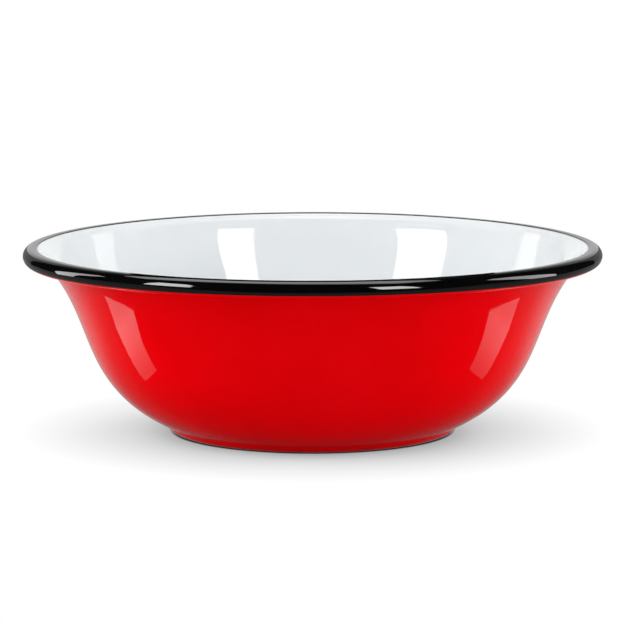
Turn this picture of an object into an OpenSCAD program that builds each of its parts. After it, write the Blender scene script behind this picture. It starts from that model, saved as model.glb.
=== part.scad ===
// Enamelled steel basin bowl with a flared lip, a rolled rim and a low pressed foot.
// One sheet of steel is pressed and curled, then dipped in a ground coat and in cover coats.
// Millimetres, +Z up on the bowl's axis, with the origin where that axis meets the table.

/* [Bowl] */
// Outer diameter over the rolled rim
rim_diameter = 220; // [190:1:260]
// Height from the table to the top of the rim
bowl_height = 71; // [60:0.5:90]
// Slope of the lip where it runs into the rim, from the horizontal
lip_slope = 47; // [40:1:56]

/* [Foot] */
// Diameter of the flat that stands on the table
foot_diameter = 100; // [84:1:116]
// Radius of the round bottom corner of the foot
foot_corner_radius = 6; // [4:0.1:8]
// Radius of the hollow between the foot and the belly
foot_fillet_radius = 2.5; // [1.5:0.1:4]
// Steepest slope of the foot's side, from the horizontal
foot_slope = 47; // [40:1:58]
// Slope at which the belly leaves the foot, from the horizontal
belly_slope = 24; // [16:1:30]

/* [Rolled rim] */
// Height of the finished rim
bead_height = 6; // [5:0.1:7]
// Width of the finished rim, across the bowl's radius
bead_width = 7.2; // [7.1:0.1:9]
// Radius of the enamel that fills the corner between lip and rim
rim_fillet_radius = 0.8; // [0.5:0.1:1.2]
// Turn of the rim, from its outermost point up and inward, at which the black meets the white
black_inner_turn = 118; // [100:1:126]
// Turn of the rim, from its outermost point downward, at which the black meets the red
black_outer_turn = 42; // [20:1:70]

/* [Layers] */
// Thickness of the steel sheet
steel_thickness = 0.6; // [0.5:0.05:0.8]
// Thickness of the ground coat on each side of the steel
ground_thickness = 0.15; // [0.1:0.01:0.2]
// Thickness of the white, red and black cover coats
cover_thickness = 0.25; // [0.2:0.01:0.35]

/* [Hidden] */
$fn = 120;

// Pull of the wall's two ends on its curve, as shares of the line between them
belly_pull_share = 0.48;
lip_pull_share = 0.38;
// Steps along the wall, and degrees in one step of an arc
wall_steps = 28;
arc_step = 7.5;
// Turn of the curl, from the rim's outermost point over the top, at which the sheet ends
sheet_end_turn = 195;

// Depths are counted through the wall, from the red surface inward to the white one.
ground_depth = cover_thickness;
steel_depth = ground_depth + ground_thickness;
steel_back_depth = steel_depth + steel_thickness;
ground_back_depth = steel_back_depth + ground_thickness;
wall_depth = ground_back_depth + cover_thickness;

// The rim's section is a round stretched sideways: two equal circles and what lies between.
bead_radius = bead_height / 2;
bead_z = bowl_height - bead_radius;
outer_centre = [rim_diameter / 2 - bead_radius, bead_z];
inner_centre = outer_centre - [bead_width - bead_height, 0];
lip_turn = 90 + lip_slope;

// The fillet under the rim touches the lip's red side and the round of the rim.
lip_distance = bead_radius - wall_depth;
fillet_distance = bead_radius + rim_fillet_radius;
fillet_turn = lip_turn + acos((lip_distance - rim_fillet_radius) / fillet_distance);
fillet_centre = polar(inner_centre, fillet_distance, fillet_turn);
lip_length = fillet_distance * sin(fillet_turn - lip_turn);

// The foot's red side: flat, round corner, hollow fillet. The belly starts where the fillet ends.
foot_radius = foot_diameter / 2;
corner_centre = [foot_radius, foot_corner_radius];
foot_fillet_centre = polar(corner_centre, foot_corner_radius + foot_fillet_radius, foot_slope - 90);
belly_start = polar(foot_fillet_centre, foot_fillet_radius, belly_slope + 90);
lip_end = polar(inner_centre, lip_distance, lip_turn);
lip_start = lip_end - lip_length * heading(lip_slope);

// The wall's red side is a cubic curve from the foot to the lip, pulled along its end slopes.
wall_span = norm(lip_start - belly_start);
belly_pull = belly_start + belly_pull_share * wall_span * heading(belly_slope);
lip_pull = lip_start - lip_pull_share * wall_span * heading(lip_slope);

function heading(angle) = [cos(angle), sin(angle)];
function polar(centre, radius, angle) = centre + radius * heading(angle);
function reversed(path) = [for (i = [len(path) - 1 : -1 : 0]) path[i]];
function without_first(path) = [for (i = [1 : len(path) - 1]) path[i]];

// Arc about a centre from one angle to another, in either direction
function arc(centre, radius, from, to) =
    let (steps = ceil(abs(to - from) / arc_step))
    [for (i = [0 : steps]) polar(centre, radius, from + (to - from) * i / steps)];

// Point on the wall's red side at share t of its curve
function wall_point(t) =
    pow(1 - t, 3) * belly_start + 3 * pow(1 - t, 2) * t * belly_pull
    + 3 * (1 - t) * pow(t, 2) * lip_pull + pow(t, 3) * lip_start;

// Direction of the wall at share t of its curve
function wall_slope(t) =
    let (run = pow(1 - t, 2) * (belly_pull - belly_start)
        + 2 * (1 - t) * t * (lip_pull - belly_pull) + pow(t, 2) * (lip_start - lip_pull))
    atan2(run[1], run[0]);

// From the axis along the base, round the foot and up the wall to the start of the straight lip
function body_path(depth) = concat(
    [[0, depth]],
    arc(corner_centre, foot_corner_radius - depth, -90, foot_slope - 90),
    without_first(
        arc(foot_fillet_centre, foot_fillet_radius + depth, foot_slope + 90, belly_slope + 90)),
    [for (i = [1 : wall_steps])
        let (t = i / wall_steps)
        polar(wall_point(t), depth, wall_slope(t) + 90)]);

// Round of the rim at one radius, from one turn over the top and down to a lower turn
function rim_path(radius, from, to) = concat(
    from > 90 ? arc(inner_centre, radius, from, max(to, 90)) : [],
    to < 90 ? arc(outer_centre, radius, min(from, 90), max(to, -90)) : [],
    to < -90 ? arc(inner_centre, radius, min(from, -90), to) : []);

// White surface, from the axis to where the black begins
function white_path(inset) = concat(
    body_path(wall_depth - inset),
    rim_path(bead_radius - inset, lip_turn, black_inner_turn));

// Black surface, over the top of the rim
function black_path(inset) = rim_path(bead_radius - inset, black_inner_turn, -black_outer_turn);

// Red surface, from the edge of the black under the rim and down the outside to the axis
function red_path(inset) = concat(
    rim_path(bead_radius - inset, -black_outer_turn, fillet_turn - 360),
    without_first(
        arc(fillet_centre, rim_fillet_radius + inset, fillet_turn - 180, lip_turn)),
    without_first(reversed(body_path(inset))));

// Sheet's section: up the back, round the curl to its cut edge, back inside the curl and down
module sheet_section() {
    polygon(concat(
        body_path(steel_back_depth),
        rim_path(bead_radius - steel_depth, lip_turn, sheet_end_turn - 360),
        reversed(rim_path(bead_radius - steel_back_depth, lip_turn, sheet_end_turn - 360)),
        reversed(body_path(steel_depth))));
}

// Space inside the curl, lined by the ground coat
module curl_hollow_section() {
    hollow_radius = bead_radius - steel_back_depth - ground_thickness;
    polygon(rim_path(hollow_radius, 180, arc_step - 180));
}

// Everything under the cover coats
module ground_section() {
    polygon(concat(
        white_path(cover_thickness),
        without_first(black_path(cover_thickness)),
        without_first(red_path(cover_thickness))));
}

// Coat between two copies of one path
module coat_section(outside, inside) {
    polygon(concat(outside, reversed(inside)));
}

module steel_shell() {
    color("silver") rotate_extrude() sheet_section();
}

module ground_coat() {
    color("midnightblue") rotate_extrude() difference() {
        ground_section();
        sheet_section();
        curl_hollow_section();
    }
}

module white_lining() {
    color("whitesmoke") rotate_extrude() coat_section(white_path(0), white_path(cover_thickness));
}

module red_outer_coat() {
    color("red") rotate_extrude() coat_section(red_path(0), red_path(cover_thickness));
}

module black_rim_coat() {
    color("black") rotate_extrude() coat_section(black_path(0), black_path(cover_thickness));
}

steel_shell();
ground_coat();
white_lining();
red_outer_coat();
black_rim_coat();
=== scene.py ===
"""Enamel basin bowl: red outside, white inside, black rolled rim, on a pale studio floor.

The three coats that show are turned again here from the part's sizes, finely enough for a gloss.
The rim, the foot ring and the red wall follow the photograph where it departs a little from the
solids, and the coats have the slight unevenness of a dipped and fired bowl. Metres, in the frame
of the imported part. The sizes of the bowl and of the panels are written in millimetres.
"""
import math

import bmesh
import bpy
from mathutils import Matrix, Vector


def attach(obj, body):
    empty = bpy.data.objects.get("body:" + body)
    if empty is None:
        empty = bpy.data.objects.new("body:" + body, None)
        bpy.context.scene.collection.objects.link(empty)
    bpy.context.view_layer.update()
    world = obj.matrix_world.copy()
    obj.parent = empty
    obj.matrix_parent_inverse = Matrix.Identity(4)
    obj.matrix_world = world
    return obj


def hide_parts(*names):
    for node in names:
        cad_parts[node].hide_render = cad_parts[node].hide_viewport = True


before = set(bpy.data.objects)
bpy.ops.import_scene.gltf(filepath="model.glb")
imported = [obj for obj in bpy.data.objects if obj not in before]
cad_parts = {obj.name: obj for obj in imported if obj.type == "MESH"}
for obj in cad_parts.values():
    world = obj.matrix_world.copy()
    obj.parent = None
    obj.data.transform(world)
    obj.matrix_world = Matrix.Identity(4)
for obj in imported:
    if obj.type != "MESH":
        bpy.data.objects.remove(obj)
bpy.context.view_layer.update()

MM = 0.001

# Sizes that the coats share with the solids, in millimetres and degrees
RIM_RADIUS = 110.0
BOWL_HEIGHT = 71.0
LIP_SLOPE = 47.0
FOOT_RADIUS = 50.0
FOOT_CORNER = 6.0
FOOT_FILLET = 2.5
FOOT_SLOPE = 47.0
BELLY_SLOPE = 24.0
BELLY_PULL = 0.48
LIP_PULL = 0.38
BEAD_RADIUS = 3.0
BEAD_STRETCH = 1.2
RIM_FILLET = 0.8
BLACK_OUTER_TURN = -42.0
WALL = 1.4
COVER = 0.25

# Turn of the rim at which the black meets the white, as the photograph shows it
BLACK_INNER_TURN = 111.0
# How much lower the black's other edge lies on the bead, in degrees: mean, and swing to the sides
DIP_MEAN = 3.5
DIP_SWING = 8.5
# What the rim's coat adds where it lies over the other two, and the turns over which it runs out
RIM_SWELL = 0.2
SWELL_FULL_TURN = 105.0
SWELL_END_TURN = 137.0
# Foot ring of the photograph: share of the wall's curve where it begins, hollow and corner radius
RING_SHARE = 0.016
RING_FILLET = 1.5
RING_CORNER = 6.0
# How far the red wall stands out, and the heights over which that grows and dies away
WALL_SWELL = 0.45
WALL_SWELL_RISE = (5.0, 30.0)
WALL_SWELL_FALL = (63.5, 66.3)
# Swell of the white enamel on the straight lip
LIP_SWELL = 0.035
# Roll of a coat's edge: how far along the bead it reaches, the same in degrees, and its depth
EDGE_REACH = 0.22
EDGE_TURN = math.degrees(EDGE_REACH / BEAD_RADIUS)
EDGE_DROP = 0.06
# Slow waves of the wall: size, number round the bowl, phase, and turn for a millimetre of height
WALL_WAVES = (
    (0.035, 3, 0.7, 0),
    (0.03, 5, 2.1, 1 / 19),
    (0.016, 9, 1.3, -1 / 11),
    (0.008, 17, 0.4, 1 / 7),
)
# Saddle, tilt and third wave of the rim: rise, number round the bowl, and phase
RIM_WAVES = (
    (-0.17, 2, 0),
    (0.13, 1, 0),
    (0.02, 3, 1.9),
)

# Fineness of the turned coats: steps round the bowl and along each stretch, and degrees of an arc
AROUND = 256
BASE_STEPS = 12
WALL_STEPS = 80
LIP_STEPS = 8
EDGE_STEPS = 4
ARC_STEP = 3.0
# The same for the back of a coat, which doesn't show
BACK_STEPS = 28
BACK_ARC_STEP = 9.0
# Points this close to each other are one, and points this close to the axis or the bead are on it
SAME_POINT = 1e-4
ON_AXIS = 1e-6
ON_BEAD = 0.01
# Angle between two faces, in degrees, from which their edge stays sharp
SHARP_ANGLE = 50
# Bake map: its middle, and the inner and outer radius of the side that shows and of the back
MAP_MIDDLE = 0.5
SHEET_MAP = ((0.0, 0.49), (0.0, 0.49))
RING_MAP = ((0.26, 0.49), (0.05, 0.24))


# Profile of the bowl, in the plane of radius and height

def heading(angle):
    return Vector((math.cos(math.radians(angle)), math.sin(math.radians(angle))))


def polar(centre, radius, angle):
    return centre + radius * heading(angle)


OUTER_CENTRE = Vector((RIM_RADIUS - BEAD_RADIUS, BOWL_HEIGHT - BEAD_RADIUS))
INNER_CENTRE = OUTER_CENTRE - Vector((BEAD_STRETCH, 0))
LIP_TURN = 90 + LIP_SLOPE
LIP_DISTANCE = BEAD_RADIUS - WALL
FILLET_DISTANCE = BEAD_RADIUS + RIM_FILLET
FILLET_TURN = LIP_TURN + math.degrees(math.acos((LIP_DISTANCE - RIM_FILLET) / FILLET_DISTANCE))
FILLET_CENTRE = polar(INNER_CENTRE, FILLET_DISTANCE, FILLET_TURN)
LIP_LENGTH = FILLET_DISTANCE * math.sin(math.radians(FILLET_TURN - LIP_TURN))
CORNER_CENTRE = Vector((FOOT_RADIUS, FOOT_CORNER))
FOOT_FILLET_CENTRE = polar(CORNER_CENTRE, FOOT_CORNER + FOOT_FILLET, FOOT_SLOPE - 90)
BELLY_START = polar(FOOT_FILLET_CENTRE, FOOT_FILLET, BELLY_SLOPE + 90)
LIP_START = polar(INNER_CENTRE, LIP_DISTANCE, LIP_TURN) - LIP_LENGTH * heading(LIP_SLOPE)
SPAN = (LIP_START - BELLY_START).length
BELLY_HANDLE = BELLY_START + BELLY_PULL * SPAN * heading(BELLY_SLOPE)
LIP_HANDLE = LIP_START - LIP_PULL * SPAN * heading(LIP_SLOPE)


def arc(centre, radius, start, end, step):
    count = max(1, math.ceil(abs(end - start) / step))
    return [polar(centre, radius, start + (end - start) * i / count) for i in range(count + 1)]


def eased(value, start, end):
    """Share of the way from start to end, from 0 to 1, with a soft beginning and end."""
    share = min(1, max(0, (value - start) / (end - start)))
    return share * share * (3 - 2 * share)


def base_line(radius, height):
    """Points of the flat base, from the axis to just short of the radius."""
    return [Vector((radius * i / BASE_STEPS, height)) for i in range(BASE_STEPS)]


def wall_point(share):
    """Point on the wall's red side at a share of its curve, as the solids have it."""
    rest = 1 - share
    return (rest ** 3 * BELLY_START + 3 * rest * rest * share * BELLY_HANDLE
            + 3 * rest * share * share * LIP_HANDLE + share ** 3 * LIP_START)


def wall_slope(share):
    """Slope of the wall at a share of its curve, in degrees."""
    rest = 1 - share
    run = (rest * rest * (BELLY_HANDLE - BELLY_START)
           + 2 * rest * share * (LIP_HANDLE - BELLY_HANDLE)
           + share * share * (LIP_START - LIP_HANDLE))
    return math.degrees(math.atan2(run.y, run.x))


def body(depth, steps, step):
    """From the axis along the base, round the foot and up the wall, depth inside the red side."""
    corner = arc(CORNER_CENTRE, FOOT_CORNER - depth, -90, FOOT_SLOPE - 90, step)
    fillet = arc(FOOT_FILLET_CENTRE, FOOT_FILLET + depth, FOOT_SLOPE + 90, BELLY_SLOPE + 90, step)
    wall = [polar(wall_point(i / steps), depth, wall_slope(i / steps) + 90)
            for i in range(1, steps + 1)]
    return base_line(FOOT_RADIUS, depth) + corner + fillet[1:] + wall


def swollen_wall(share):
    """Point on the red wall, moved out between the belly and the groove under the rim."""
    point = wall_point(share)
    swell = eased(point.y, *WALL_SWELL_RISE) * (1 - eased(point.y, *WALL_SWELL_FALL))
    return point + Vector((WALL_SWELL * swell, 0))


def ringed_body():
    """The red side with the wider foot ring: base, round corner, tight hollow and wall."""
    slope = wall_slope(RING_SHARE)
    hollow = polar(wall_point(RING_SHARE), RING_FILLET, slope - 90)
    drop = RING_CORNER - hollow.y
    span = math.sqrt((RING_CORNER + RING_FILLET) ** 2 - drop ** 2)
    flat_radius = hollow.x - span
    contact = -math.degrees(math.atan2(drop, span))
    corner = arc(Vector((flat_radius, RING_CORNER)), RING_CORNER, -90, contact, ARC_STEP)
    fillet = arc(hollow, RING_FILLET, contact + 180, slope + 90, ARC_STEP)
    wall = [swollen_wall(RING_SHARE + (1 - RING_SHARE) * i / WALL_STEPS)
            for i in range(1, WALL_STEPS + 1)]
    return base_line(flat_radius, 0) + corner + fillet[1:] + wall


def bead(radius, start, end, step):
    """Round of the rim from one turn over the top and down to a lower one."""
    points = []
    if start > 90:
        points += arc(INNER_CENTRE, radius, start, max(end, 90), step)
    if end < 90:
        points += arc(OUTER_CENTRE, radius, min(start, 90), max(end, -90), step)
    if end < -90:
        points += arc(INNER_CENTRE, radius, min(start, -90), end, step)
    return points


def lip_swell():
    """Points along the lip's white side, where the enamel stands a little proud."""
    start = polar(LIP_START, WALL, LIP_TURN)
    points = []
    for i in range(1, LIP_STEPS):
        share = i / LIP_STEPS
        bulge = 4 * share * (1 - share)
        points.append(start + LIP_LENGTH * share * heading(LIP_SLOPE)
                      + LIP_SWELL * bulge * heading(LIP_TURN))
    return points


def under_rim(inset, edge, step):
    """From the lip's end round the fillet and out along the bead to the edge of the black."""
    fillet = arc(FILLET_CENTRE, RIM_FILLET + inset, LIP_TURN, FILLET_TURN - 180, step)
    underside = bead(BEAD_RADIUS - inset, edge, FILLET_TURN - 360, step)
    return fillet + underside[::-1]


def rolled_edge(turn, way):
    """A coat's edge on the bead, rolled down over a short reach. way is the turn's direction."""
    centre = INNER_CENTRE if turn > 90 else OUTER_CENTRE
    points = []
    for i in range(1, EDGE_STEPS + 1):
        share = i / EDGE_STEPS
        radius = BEAD_RADIUS - EDGE_DROP * (1 - math.cos(math.pi / 2 * share))
        points.append(polar(centre, radius, turn - EDGE_TURN * way * (1 - share)))
    return points


def without_repeats(points):
    kept = points[:1]
    for point in points[1:]:
        if (point - kept[-1]).length > SAME_POINT:
            kept.append(point)
    return kept


# Unevenness of a pressed, dipped and fired bowl, in millimetres

def dipped(radius, height, angle):
    """The point, moved on the bead by the swell of the rim's coat and along its wavy lower edge."""
    centre = min(max(radius, INNER_CENTRE.x), OUTER_CENTRE.x)
    across = radius - centre
    above = height - OUTER_CENTRE.y
    reach = math.hypot(across, above)
    if reach > BEAD_RADIUS + ON_BEAD:
        return radius, height
    turn = math.degrees(math.atan2(above, across))
    outside = (reach - BEAD_RADIUS + COVER) / COVER
    reach += RIM_SWELL * outside * eased(abs(turn), SWELL_END_TURN, SWELL_FULL_TURN)
    if -90 < turn < 0:
        dip = DIP_MEAN + DIP_SWING * math.cos(2 * angle)
        turn -= dip * math.sin(math.radians(2 * turn)) ** 2
    moved = reach * heading(turn)
    return centre + moved.x, OUTER_CENTRE.y + moved.y


def uneven(radius, height, angle):
    """The point moved by the rim's saddle and tilt, an uneven mouth and slow waves in the wall."""
    radius, height = dipped(radius, height, angle)
    up = height / BOWL_HEIGHT
    out = sum(size * math.cos(count * angle + phase + twist * height)
              for size, count, phase, twist in WALL_WAVES)
    lift = sum(rise * math.cos(count * angle + phase) for rise, count, phase in RIM_WAVES)
    return radius + up * out, height + up * up * lift


# Turned pieces

def turned_row(bm, point):
    """Vertices round the bowl for one point of an outline, or a single one on the axis."""
    if point.x < ON_AXIS:
        return [bm.verts.new((0, 0, uneven(0, point.y, 0)[1] * MM))]
    row = []
    for step in range(AROUND):
        angle = 2 * math.pi * step / AROUND
        radius, height = uneven(point.x, point.y, angle)
        place = (radius * math.cos(angle) * MM, radius * math.sin(angle) * MM, height * MM)
        row.append(bm.verts.new(place))
    return row


def map_radii(outline, front_count, rings):
    """How far from the bake map's middle each point of an outline lies. The first front_count
    points are the side that shows, which runs outward, and the others run back inward."""
    length = [0.0]
    for point, following in zip(outline, outline[1:]):
        length.append(length[-1] + (following - point).length)
    split = length[front_count - 1]
    radii = []
    for index, run in enumerate(length):
        if index < front_count:
            inner, outer = rings[0]
            share = run / split
        else:
            inner, outer = rings[1]
            share = 1 - (run - split) / (length[-1] - split)
        radii.append(inner + (outer - inner) * share)
    return radii


def add_band(bm, uv, rows, radii, first, second):
    """Faces between two rows, given by their numbers, with their places on the bake map. A row on
    the axis has a single vertex, and the faces beside it have three corners."""
    for step in range(AROUND):
        corners = [(first, step), (first, step + 1), (second, step + 1), (second, step)]
        if len(rows[first]) == 1:
            del corners[1]
        elif len(rows[second]) == 1:
            del corners[3]
        face = bm.faces.new([rows[index][turn % len(rows[index])] for index, turn in corners])
        face.smooth = True
        for loop, (index, turn) in zip(face.loops, corners):
            angle = 2 * math.pi * turn / AROUND
            loop[uv].uv = (MAP_MIDDLE + radii[index] * math.cos(angle),
                           MAP_MIDDLE + radii[index] * math.sin(angle))


def turned(name, front, back, rings, closed=False):
    """Turns a coat about Z from the outlines of its front and its back, which run the same way.
    A closed coat is a ring, and the others begin on the axis. rings is the bake map's layout."""
    front = without_repeats(front)
    outline = front + without_repeats(back)[::-1]
    bm = bmesh.new()
    uv = bm.loops.layers.uv.new("OFBake")
    rows = [turned_row(bm, point) for point in outline]
    radii = map_radii(outline, len(front), rings)
    last = len(rows) - 1
    for i in range(last):
        add_band(bm, uv, rows, radii, i, i + 1)
    if closed:
        add_band(bm, uv, rows, radii, last, 0)
    bmesh.ops.recalc_face_normals(bm, faces=bm.faces[:])
    mesh = bpy.data.meshes.new(name)
    bm.to_mesh(mesh)
    bm.free()
    mesh.set_sharp_from_angle(angle=math.radians(SHARP_ANGLE))
    piece = bpy.data.objects.new(name, mesh)
    bpy.context.scene.collection.objects.link(piece)
    return piece


def white_lining():
    """Inside of the bowl, up to the black."""
    front = (body(WALL, WALL_STEPS, ARC_STEP) + lip_swell()
             + bead(BEAD_RADIUS, LIP_TURN, BLACK_INNER_TURN + EDGE_TURN, ARC_STEP)
             + rolled_edge(BLACK_INNER_TURN, -1))
    back = (body(WALL - COVER, BACK_STEPS, BACK_ARC_STEP)
            + bead(BEAD_RADIUS - COVER, LIP_TURN, BLACK_INNER_TURN, BACK_ARC_STEP))
    return turned("white_enamel_lining", front, back, SHEET_MAP)


def red_coat():
    """Base, foot ring, wall and underside of the rim, up to the black."""
    front = (ringed_body() + under_rim(0, BLACK_OUTER_TURN - EDGE_TURN, ARC_STEP)
             + rolled_edge(BLACK_OUTER_TURN, 1))
    back = (body(COVER, BACK_STEPS, BACK_ARC_STEP)
            + under_rim(COVER, BLACK_OUTER_TURN, BACK_ARC_STEP))
    return turned("red_enamel_coat", front, back, SHEET_MAP)


def black_rim():
    """Top and outside of the rim, between the white and the red."""
    front = (rolled_edge(BLACK_INNER_TURN, 1)[::-1]
             + bead(BEAD_RADIUS, BLACK_INNER_TURN - EDGE_TURN, BLACK_OUTER_TURN + EDGE_TURN, ARC_STEP)
             + rolled_edge(BLACK_OUTER_TURN, -1))
    back = bead(BEAD_RADIUS - COVER, BLACK_INNER_TURN, BLACK_OUTER_TURN, BACK_ARC_STEP)
    return turned("black_enamel_rim", front, back, RING_MAP, closed=True)


white = white_lining()
red = red_coat()
black = black_rim()


# Shader nodes

def new_material(name):
    material = bpy.data.materials.new(name)
    material.use_nodes = True
    material.node_tree.nodes.clear()
    return material, material.node_tree.nodes, material.node_tree.links


def join_output(nodes, links, shader):
    """Joins a shader to a material's output."""
    out = nodes.new("ShaderNodeOutputMaterial")
    links.new(shader, out.inputs["Surface"])


def object_place(nodes):
    return nodes.new("ShaderNodeTexCoord").outputs["Object"]


def noise(nodes, links, coord, scale, detail, roughness=0.5):
    node = nodes.new("ShaderNodeTexNoise")
    node.inputs["Scale"].default_value = scale
    node.inputs["Detail"].default_value = detail
    node.inputs["Roughness"].default_value = roughness
    links.new(coord, node.inputs["Vector"])
    return node.outputs["Fac"]


def ramp(nodes, links, value, stops):
    """Colours between stops, which are pairs of place and colour."""
    node = nodes.new("ShaderNodeValToRGB")
    elements = node.color_ramp.elements
    while len(elements) < len(stops):
        elements.new(0.5)
    for element, (position, colour) in zip(elements, stops):
        element.position = position
        element.color = (*colour, 1)
    links.new(value, node.inputs["Fac"])
    return node.outputs["Color"]


def ranged(nodes, links, value, source, target):
    """The value, taken from one range of numbers to another and held at its ends."""
    node = nodes.new("ShaderNodeMapRange")
    node.inputs["From Min"].default_value, node.inputs["From Max"].default_value = source
    node.inputs["To Min"].default_value, node.inputs["To Max"].default_value = target
    links.new(value, node.inputs["Value"])
    return node.outputs["Result"]


def mixed(nodes, links, share, first, second):
    """From the first shader to the second, as share goes from 0 to 1."""
    node = nodes.new("ShaderNodeMixShader")
    links.new(share, node.inputs["Fac"])
    links.new(first, node.inputs[1])
    links.new(second, node.inputs[2])
    return node.outputs["Shader"]


def added(nodes, links, first, second):
    node = nodes.new("ShaderNodeAddShader")
    links.new(first, node.inputs[0])
    links.new(second, node.inputs[1])
    return node.outputs["Shader"]


# Materials of the bowl

# Enamel's noises, in waves for a metre: tone, fine grain, gloss and orange peel
CLOUD_SCALE = 38
GRAIN_SCALE = 2600
GLOSS_SCALE = 120
PEEL_SCALE = 330
# Values of the noise at which the deep, usual and pale tones stand, and the grain's share
CLOUD_STOPS = (0.28, 0.5, 0.74)
GRAIN_STOPS = (0.3, 0.5, 0.72)
GRAIN_SHARE = 0.3
# Part of a noise's range that most of it lies in
NOISE_RANGE = (0.3, 0.7)
ENAMEL_IOR = 1.5
PEEL_DEPTH = 0.01 * MM
# Least and greatest roughness of the cover coats and of the ground coat
COVER_GLOSS = (0.03, 0.06)
GROUND_GLOSS = (0.2, 0.3)
# Strength of the orange peel
COVER_PEEL = 0.4
GROUND_PEEL = 0.8
# Deep, usual and pale tones
RED_TONES = ((0.66, 0.0, 0.001), (0.72, 0.0, 0.002), (0.76, 0.0, 0.003))
WHITE_TONES = ((0.77, 0.795, 0.805), (0.79, 0.815, 0.825), (0.81, 0.83, 0.84))
BLACK_TONES = ((0.0008, 0.0008, 0.0009), (0.0015, 0.0015, 0.0016), (0.003, 0.003, 0.0032))
GROUND_TONES = ((0.008, 0.01, 0.03), (0.014, 0.017, 0.045), (0.02, 0.024, 0.06))
# Bare steel: its colour, how dark its drawing marks are, their noise and its roughness
STEEL_COLOUR = (0.56, 0.57, 0.58)
MARK_SHADE = 0.8
MARK_SCALE = 500
STEEL_ROUGHNESS = (0.35, 0.5)


def enamel(name, tones, gloss, peel):
    """Glossy fused enamel: a slow cloud of tone, a fine grain, uneven gloss and an orange peel."""
    material, nodes, links = new_material(name)
    shader = nodes.new("ShaderNodeBsdfPrincipled")
    shader.inputs["IOR"].default_value = ENAMEL_IOR
    join_output(nodes, links, shader.outputs["BSDF"])
    coord = object_place(nodes)
    cloud = noise(nodes, links, coord, CLOUD_SCALE, detail=3)
    tone = ramp(nodes, links, cloud, list(zip(CLOUD_STOPS, tones)))
    grain = noise(nodes, links, coord, GRAIN_SCALE, detail=2, roughness=0.6)
    fleck = ramp(nodes, links, grain, list(zip(GRAIN_STOPS, tones)))
    mix = nodes.new("ShaderNodeMix")
    mix.data_type = "RGBA"
    mix.inputs["Factor"].default_value = GRAIN_SHARE
    links.new(tone, mix.inputs["A"])
    links.new(fleck, mix.inputs["B"])
    links.new(mix.outputs["Result"], shader.inputs["Base Color"])
    breath = noise(nodes, links, coord, GLOSS_SCALE, detail=3)
    links.new(ranged(nodes, links, breath, NOISE_RANGE, gloss), shader.inputs["Roughness"])
    waves = noise(nodes, links, coord, PEEL_SCALE, detail=2)
    bump = nodes.new("ShaderNodeBump")
    bump.inputs["Strength"].default_value = peel
    bump.inputs["Distance"].default_value = PEEL_DEPTH
    links.new(waves, bump.inputs["Height"])
    links.new(bump.outputs["Normal"], shader.inputs["Normal"])
    return material


def bare_steel():
    """Pressed sheet under the enamel, with faint drawing marks."""
    material, nodes, links = new_material("bare_steel")
    shader = nodes.new("ShaderNodeBsdfPrincipled")
    shader.inputs["Metallic"].default_value = 1
    join_output(nodes, links, shader.outputs["BSDF"])
    marks = noise(nodes, links, object_place(nodes), MARK_SCALE, detail=4)
    tones = ([MARK_SHADE * c for c in STEEL_COLOUR], STEEL_COLOUR)
    links.new(ramp(nodes, links, marks, list(zip(NOISE_RANGE, tones))), shader.inputs["Base Color"])
    links.new(ranged(nodes, links, marks, NOISE_RANGE, STEEL_ROUGHNESS), shader.inputs["Roughness"])
    return material


RED = enamel("red_enamel", RED_TONES, COVER_GLOSS, COVER_PEEL)
WHITE = enamel("white_enamel", WHITE_TONES, COVER_GLOSS, COVER_PEEL)
BLACK = enamel("black_enamel", BLACK_TONES, COVER_GLOSS, COVER_PEEL)
GROUND = enamel("ground_enamel", GROUND_TONES, GROUND_GLOSS, GROUND_PEEL)
STEEL = bare_steel()

for piece, node, slot, material in (
        (white, "white_lining", "white_enamel", WHITE),
        (red, "red_outer_coat", "red_enamel", RED),
        (black, "black_rim_coat", "black_enamel", BLACK)):
    piece.data.materials.append(material)
    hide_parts(node)
    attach(piece, "root")
for node, material in (("steel_shell", STEEL), ("ground_coat", GROUND)):
    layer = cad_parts[node]
    layer.data.materials.clear()
    layer.data.materials.append(material)
# The floor takes no red from the bowl
red.visible_diffuse = False


# Camera, as fitted to the photograph

# Lengths in pixels, the sensor in millimetres, the place and clipping in metres, the tilt in degrees
IMAGE_SIDE = 625
FOCAL_PIXELS = 3715.2
SENSOR_SIDE = 36
CAMERA_PLACE = (0, -1.40532, 0.24455)
CAMERA_DOWN = 8.0807
CAMERA_CLIP = (0.05, 50)


def photo_camera():
    data = bpy.data.cameras.new("camera")
    data.sensor_width = SENSOR_SIDE
    data.lens = FOCAL_PIXELS / IMAGE_SIDE * SENSOR_SIDE
    data.clip_start, data.clip_end = CAMERA_CLIP
    camera = bpy.data.objects.new("camera", data)
    camera.location = CAMERA_PLACE
    camera.rotation_euler = (math.radians(90 - CAMERA_DOWN), 0, 0)
    bpy.context.scene.collection.objects.link(camera)
    return camera


bpy.context.scene.camera = photo_camera()


# Floor

# Half of its side, and how far it lies under the base
FLOOR_HALF = 6
FLOOR_DROP = 0.02 * MM
# Distances from the axis over which the painted contact shadow under the foot ends, and the shadow
# fades into white
CONTACT_SHADOW_RING = (0.0533, 0.0548)
FADE_RING = (0.056, 0.112)
# The floor's grey and its own light, under the foot and outside it. Under the foot the grey is near
# black and the light is off, which is painted contact shadow
SHADOW_AND_FLOOR_GREYS = (0.02, 0.58)
FLOOR_LIFTS = (0.0, 0.28)
# Its grey for all but the camera
FLOOR_BOUNCE = (0.85, 0.85, 0.85, 1)


def stage_mesh(name, points, material):
    """One flat face of the studio, in metres."""
    mesh = bpy.data.meshes.new(name)
    mesh.from_pydata([Vector(p) for p in points], [], [list(range(len(points)))])
    mesh.materials.append(material)
    obj = bpy.data.objects.new(name, mesh)
    bpy.context.scene.collection.objects.link(obj)
    return obj


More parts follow.
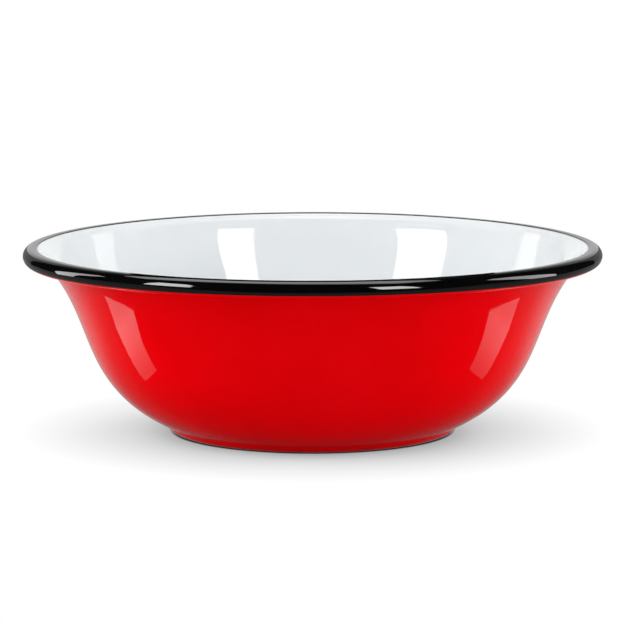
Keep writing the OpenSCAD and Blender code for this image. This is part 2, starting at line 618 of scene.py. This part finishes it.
def floor_material():
    """Pale floor that keeps the shadow near the bowl and runs out into plain white. Just under the
    edge of the foot its grey is near black and its glow off, a painted contact shadow.
    """
    material, nodes, links = new_material("floor")
    length = nodes.new("ShaderNodeVectorMath")
    length.operation = "LENGTH"
    links.new(object_place(nodes), length.inputs[0])
    distance = length.outputs["Value"]
    lit = nodes.new("ShaderNodeBsdfDiffuse")
    # Near-black grey and no glow close to the foot: painted contact shadow
    links.new(ranged(nodes, links, distance, CONTACT_SHADOW_RING, SHADOW_AND_FLOOR_GREYS), lit.inputs["Color"])
    lift = nodes.new("ShaderNodeEmission")
    links.new(ranged(nodes, links, distance, CONTACT_SHADOW_RING, FLOOR_LIFTS), lift.inputs["Strength"])
    near = added(nodes, links, lit.outputs["BSDF"], lift.outputs["Emission"])
    glow = nodes.new("ShaderNodeEmission")
    far = ranged(nodes, links, distance, FADE_RING, (0, 1))
    seen = mixed(nodes, links, far, near, glow.outputs["Emission"])
    bounce = nodes.new("ShaderNodeBsdfDiffuse")
    bounce.inputs["Color"].default_value = FLOOR_BOUNCE
    path = nodes.new("ShaderNodeLightPath")
    both = mixed(nodes, links, path.outputs["Is Camera Ray"], bounce.outputs["BSDF"], seen)
    join_output(nodes, links, both)
    return material


floor = stage_mesh("floor", [(x * FLOOR_HALF, y * FLOOR_HALF, -FLOOR_DROP)
                             for x, y in ((-1, -1), (1, -1), (1, 1), (-1, 1))], floor_material())
floor.visible_glossy = False


# Soft lights

# Point that they are aimed at
LIGHT_TARGET = Vector((0, 0, 0.04))


def lit_only(obj, pieces):
    """Lets a light or a panel reach the named pieces and nothing else."""
    group = bpy.data.collections.new(obj.name)
    for piece in pieces:
        group.objects.link(piece)
    obj.light_linking.receiver_collection = group


def soft_light(name, place, size, level, only=None, shadow=True):
    """Soft light aimed at the bowl. level is what it adds to a white that faces it."""
    data = bpy.data.lights.new(name, "AREA")
    data.shape = "RECTANGLE"
    data.size, data.size_y = size
    data.use_shadow = shadow
    data.energy = level * math.pi ** 2 * (Vector(place) - LIGHT_TARGET).length_squared
    light = bpy.data.objects.new(name, data)
    light.location = place
    light.rotation_euler = (LIGHT_TARGET - Vector(place)).to_track_quat("-Z", "Y").to_euler()
    light.visible_glossy = False
    light.visible_camera = False
    bpy.context.scene.collection.objects.link(light)
    if only:
        lit_only(light, only)


def light_pair(name, place, size, levels, only=None, shadow=True):
    """Soft lights on the left and the right. place is the right one's, levels are left and right."""
    x, y, z = place
    left, right = levels
    soft_light("left_" + name, (-x, y, z), size, left, only, shadow)
    soft_light("right_" + name, (x, y, z), size, right, only, shadow)


light_pair("front", place=(0.9, -0.65, 0.95), size=(0.8, 0.8), levels=(0.29, 0.1))
light_pair("low", place=(1.1, -0.9, 0.3), size=(0.8, 0.6), levels=(0.3, 0.35))
light_pair("side", place=(1.4, 0.1, 0.35), size=(0.8, 0.8), levels=(0.53, 0.53))
light_pair("back", place=(0.8, 1.3, 0.6), size=(0.8, 0.8), levels=(0.27, 0.48))
# What the bright floor and backdrop give to the red at the two sides
light_pair("edge", place=(1.0, 1.0, 0.06), size=(0.6, 0.4), levels=(0.2, 0.2), only=[red])
light_pair("table", place=(0.5, 0.62, -0.92), size=(0.6, 0.6), levels=(0.17, 0.17), only=[red],
           shadow=False)


# Panels that the gloss shows, in millimetres

# Distance of the boxes and windows from the middle of the rim
BOX_DISTANCE = 1500
# White ceiling: half its width, step along its front edge, that edge's middle and bow, back, height
CEILING_HALF = 900
CEILING_STEP = 150
CEILING_FRONT = -88
CEILING_BOW = 1100
CEILING_BACK = 1000
CEILING_HEIGHT = 1140
# Levels of the narrow cards beside the red wall, by height
STRIP_SHADES = [(8, 0.45), (13.5, 0.5), (22.5, 0.8), (30, 1.25), (37, 1.4), (42, 1.0), (52, 0.75)]


def panel_material(name, strength, axis, shades, opaque):
    """Glow of a panel, which is clear besides unless it is opaque."""
    material, nodes, links = new_material(name)
    material.cycles.emission_sampling = "NONE"
    emission = nodes.new("ShaderNodeEmission")
    emission.inputs["Strength"].default_value = strength
    shader = emission.outputs["Emission"]
    if not opaque:
        clear = nodes.new("ShaderNodeBsdfTransparent")
        shader = added(nodes, links, shader, clear.outputs["BSDF"])
    join_output(nodes, links, shader)
    if shades:
        start = shades[0][0]
        end = shades[-1][0]
        split = nodes.new("ShaderNodeSeparateXYZ")
        links.new(object_place(nodes), split.inputs["Vector"])
        along = ranged(nodes, links, split.outputs[axis], (start * MM, end * MM), (0, 1))
        stops = [((place - start) / (end - start), (level,) * 3) for place, level in shades]
        links.new(ramp(nodes, links, along, stops), emission.inputs["Color"])
    return material


def panel(name, points, strength, only, axis="Y", shades=None, opaque=False):
    """Panel that only the gloss of the named pieces shows. Other panels show through it, unless
    it is opaque. shades grades the level along an axis, as pairs of place and level."""
    material = panel_material(name, strength, axis, shades, opaque)
    obj = stage_mesh(name, [Vector(p) * MM for p in points], material)
    obj.visible_camera = False
    obj.visible_diffuse = False
    obj.visible_transmission = False
    obj.visible_volume_scatter = False
    obj.visible_shadow = False
    lit_only(obj, only)


def toward(corners):
    """Points at one distance from the rim, from bearings (0 is to the camera) and heights."""
    points = []
    for bearing, height in corners:
        flat = BOX_DISTANCE * math.cos(math.radians(height))
        points.append((flat * math.sin(math.radians(bearing)),
                       -flat * math.cos(math.radians(bearing)),
                       BOWL_HEIGHT + BOX_DISTANCE * math.sin(math.radians(height))))
    return points


def side_panel(x, outline):
    """Upright panel that faces left and right, from pairs of y and height."""
    return [(x, y, z) for y, z in outline]


def flat_panel(z, outline):
    """Level panel, from pairs of x and y."""
    return [(x, y, z) for x, y in outline]


def standing(y, heights, halves):
    """Upright panel that faces the camera: its lower and upper height, and half its width there."""
    bottom, top = heights
    low, high = halves
    return [(-low, y, bottom), (low, y, bottom), (high, y, top), (-high, y, top)]


def lying(z, depths, half):
    """Level panel between two places along y, and half its width."""
    front, back = depths
    return flat_panel(z, [(-half, front), (half, front), (half, back), (-half, back)])


def bowed_ceiling():
    """Ceiling whose front edge comes towards the camera in the middle."""
    steps = range(-CEILING_HALF, CEILING_HALF + 1, CEILING_STEP)
    front = [(x, x * x / CEILING_BOW + CEILING_FRONT) for x in steps]
    back = [(CEILING_HALF, CEILING_BACK), (-CEILING_HALF, CEILING_BACK)]
    return flat_panel(CEILING_HEIGHT, front + back)


# Large boxes at the front and narrow ones behind, as the white lining shows them
panel("window_right", toward([(61.5, 72.5), (86, 66.5), (50, 32.5), (31.5, 34.5)]),
      strength=7, only=[white])
panel("window_left", toward([(-80, 68), (-104, 57.5), (-74.5, 28.5), (-46.5, 32.5)]),
      strength=7, only=[white])
panel("window_right_back", toward([(142, 34.5), (133, 41.5), (119, 22), (132.5, 18)]),
      strength=1.5, only=[white])
panel("window_left_back", toward([(-137.5, 38), (-145, 32), (-139, 16.5), (-124, 21.5)]),
      strength=1.5, only=[white])
# Ceiling and front wall of the room, as the white lining shows them
panel("ceiling_white", bowed_ceiling(), strength=1, only=[white], axis="X",
      shades=[(-900, 0.5), (-600, 1.1), (0, 3.7), (600, 1.1), (900, 0.5)])
panel("front_white", standing(y=-1300, heights=(900, 2500), halves=(1500, 1500)),
      strength=1, only=[white], axis="Z",
      shades=[(900, 2.4), (1050, 2.2), (1160, 1.6), (1330, 1.0), (1740, 0.75), (2500, 0.0)])
# Boxes at the front, cards at the sides and a screen overhead, as the black rim shows them
panel("box_left", toward([(-66, 3), (-46, 3), (-46.5, 21), (-52, 31), (-65, 31)]),
      strength=13, only=[black])
panel("box_right", toward([(25, 3), (41, 3), (39, 20), (36, 31), (22.5, 31)]),
      strength=13, only=[black])
panel("card_left", side_panel(x=-250, outline=[
    (36, 28), (36, 80), (0, 135), (-30, 185), (-55, 175), (-45, 130), (-28, 100), (-15, 40)]),
    strength=5, only=[black])
panel("card_right", side_panel(x=250, outline=[
    (-2, 35), (-5, 65), (-40, 135), (-62, 190), (-98, 215), (-125, 190), (-115, 150), (-97, 105),
    (-62, 50)]), strength=5, only=[black])
panel("ceiling_black", flat_panel(z=850, outline=[
    (-640, 60), (0, -130), (330, -230), (400, 60), (120, 500), (-250, 580), (-600, 330)]),
    strength=3.2, only=[black])
# A dark flag over the mouth, which keeps the backdrop off the top of the rim in front
panel("flag", standing(y=-62, heights=(55, 98), halves=(62, 72)),
      strength=0, only=[black], opaque=True)
# The wall behind, with a lit backdrop before it
panel("wall", standing(y=2000, heights=(-250, 2200), halves=(1400, 1400)),
      strength=0.2, only=[black])
panel("low_wall", standing(y=2010, heights=(-250, 790), halves=(1400, 1400)),
      strength=0.2, only=[white])
panel("backdrop", standing(y=1990, heights=(70, 1250), halves=(380, 1250)),
      strength=1, only=[black], axis="Z",
      shades=[(70, 0.62), (700, 0.42), (1000, 0.17), (1250, 0.15)])
panel("backdrop_white", standing(y=1980, heights=(70, 1250), halves=(290, 1150)),
      strength=1, only=[white], axis="Z",
      shades=[(70, 0.7), (430, 0.53), (620, 0.35), (850, 0.38), (1250, 0.3)])
# Two narrow cards close beside the bowl, as the red wall shows them
panel("strip_left", side_panel(x=-84, outline=[
    (-52.5, 51.5), (-49, 44.5), (-46.5, 38.5), (-44.3, 25), (-41, 8), (-56, 11), (-57.2, 28),
    (-59.7, 36.7), (-57.7, 40), (-54.3, 46.5)]),
    strength=1, only=[red], axis="Z", shades=STRIP_SHADES)
panel("strip_right", side_panel(x=84, outline=[
    (-52, 51), (-48.4, 44.5), (-46, 38.5), (-43.6, 25), (-40.4, 9.5), (-56, 12), (-58.2, 28),
    (-60.3, 36.2), (-57.7, 40), (-54, 46.5)]),
    strength=0.75, only=[red], axis="Z", shades=STRIP_SHADES)
# What a glossy table shows of the backdrop
panel("sheen_red", lying(z=-50, depths=(-100, 3000), half=1500), strength=1, only=[red],
      shades=[(-60, 0.0), (0, 0.02), (90, 0.13), (180, 0.33), (300, 0.43), (600, 0.5)])
panel("sheen_black", lying(z=-60, depths=(-324, 900), half=900), strength=0.2, only=[black])


# World

FILL_COLOUR = (0.97, 0.985, 1.0, 1)
FILL_LEVEL = 0.28
ROOM_COLOUR = (0.01, 0.01, 0.01, 1)
SKY_COLOUR = (1, 1, 1, 1)


def background(nodes, colour, strength=1):
    node = nodes.new("ShaderNodeBackground")
    node.inputs["Color"].default_value = colour
    node.inputs["Strength"].default_value = strength
    return node.outputs["Background"]


def studio_world():
    """White to the camera, a dark room to the gloss, and an even fill to all else."""
    world = bpy.data.worlds.new("studio")
    bpy.context.scene.world = world
    world.use_nodes = True
    nodes = world.node_tree.nodes
    links = world.node_tree.links
    nodes.clear()
    path = nodes.new("ShaderNodeLightPath")
    fill = background(nodes, FILL_COLOUR, FILL_LEVEL)
    room = background(nodes, ROOM_COLOUR)
    light = mixed(nodes, links, path.outputs["Is Glossy Ray"], fill, room)
    sky = background(nodes, SKY_COLOUR)
    seen = mixed(nodes, links, path.outputs["Is Camera Ray"], light, sky)
    out = nodes.new("ShaderNodeOutputWorld")
    links.new(seen, out.inputs["Surface"])


studio_world()
bpy.context.scene.view_settings.view_transform = "Standard"
